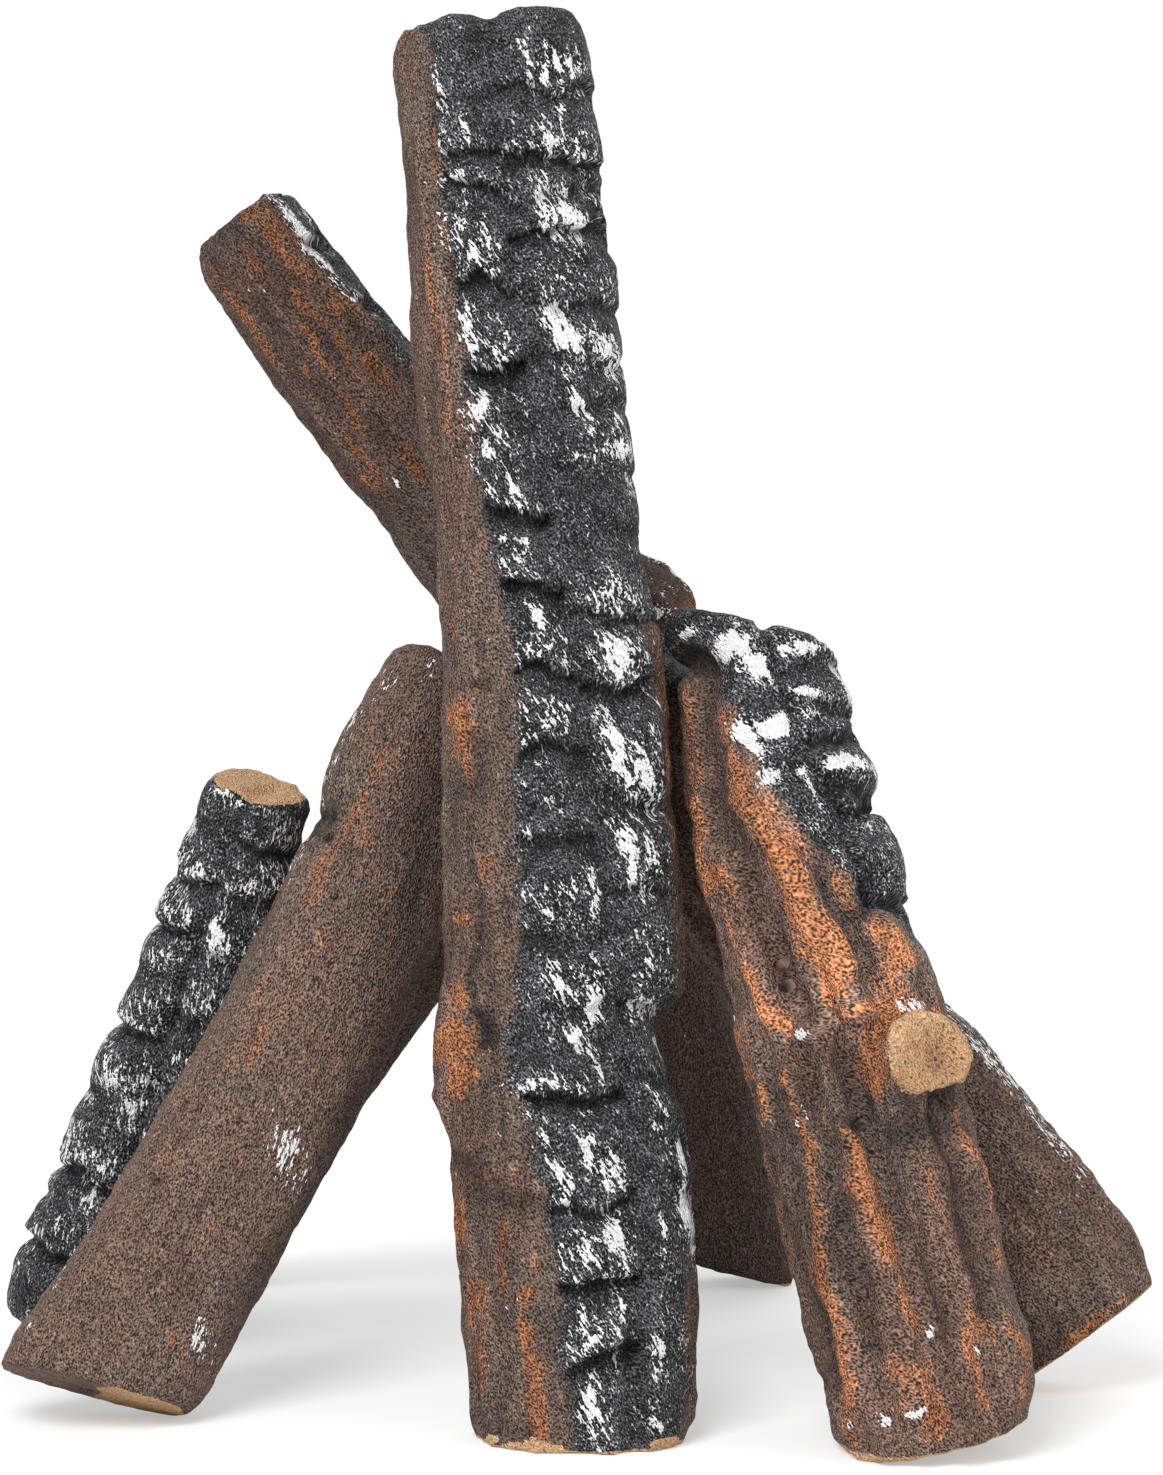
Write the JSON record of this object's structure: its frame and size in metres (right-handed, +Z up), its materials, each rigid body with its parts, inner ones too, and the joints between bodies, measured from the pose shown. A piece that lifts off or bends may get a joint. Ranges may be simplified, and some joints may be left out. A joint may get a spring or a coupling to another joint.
{
  "type": "gas log set",
  "caption": "Loose cast ceramic logs with painted bark and char, leaned on each other in a tepee for a gas fire or fire pit.",
  "frame": {"origin": "middle of the set's footprint box, on the floor that the logs stand on", "axes": "+Z up, -Y to the front where the tall log stands, +X to the right seen from the front"},
  "size_m": [0.4892, 0.4154, 0.5787],
  "materials": {
    "charred_casting": "matt, painted charcoal black with white ash",
    "brown_casting": "matt, painted bark brown",
    "rust_casting": "matt, painted bark brown with rust crests",
    "rod_steel": "plain mild steel, dull"
  },
  "bodies": {
    "crossing": {"crossing_log": "brown_casting", "crossing_rod": "rod_steel"},
    "tall_front": {"tall_front_log": "charred_casting", "tall_front_rod": "rod_steel"},
    "branch_stub": {"branch_stub_log": "rust_casting", "branch_stub_rod": "rod_steel"},
    "left_front": {"left_front_log": "brown_casting", "left_front_rod": "rod_steel"},
    "left_rear": {"left_rear_log": "charred_casting", "left_rear_rod": "rod_steel"},
    "rear_leaning": {"rear_leaning_log": "brown_casting", "rear_leaning_rod": "rod_steel"},
    "rear_upright": {"rear_upright_log": "brown_casting", "rear_upright_rod": "rod_steel"}
  },
  "joints": [
    {"name": "tall_front_lift", "type": "slide", "parent": "crossing", "child": "tall_front", "axis": [0, -0.9, 0.436], "range_m": [0, 0.25]},
    {"name": "branch_stub_lift", "type": "slide", "parent": "crossing", "child": "branch_stub", "axis": [0.5, -0.75, 0.433], "range_m": [0, 0.25]},
    {"name": "left_front_lift", "type": "slide", "parent": "crossing", "child": "left_front", "axis": [-0.9, 0, 0.436], "range_m": [0, 0.25]},
    {"name": "left_rear_lift", "type": "slide", "parent": "left_front", "child": "left_rear", "axis": [-0.5, 0.75, 0.433], "range_m": [0, 0.2]},
    {"name": "rear_leaning_lift", "type": "slide", "parent": "crossing", "child": "rear_leaning", "axis": [0, 0.9, 0.436], "range_m": [0, 0.25]},
    {"name": "rear_upright_lift", "type": "slide", "parent": "rear_leaning", "child": "rear_upright", "axis": [0.3, 0.85, 0.433], "range_m": [0, 0.25]}
  ]
}
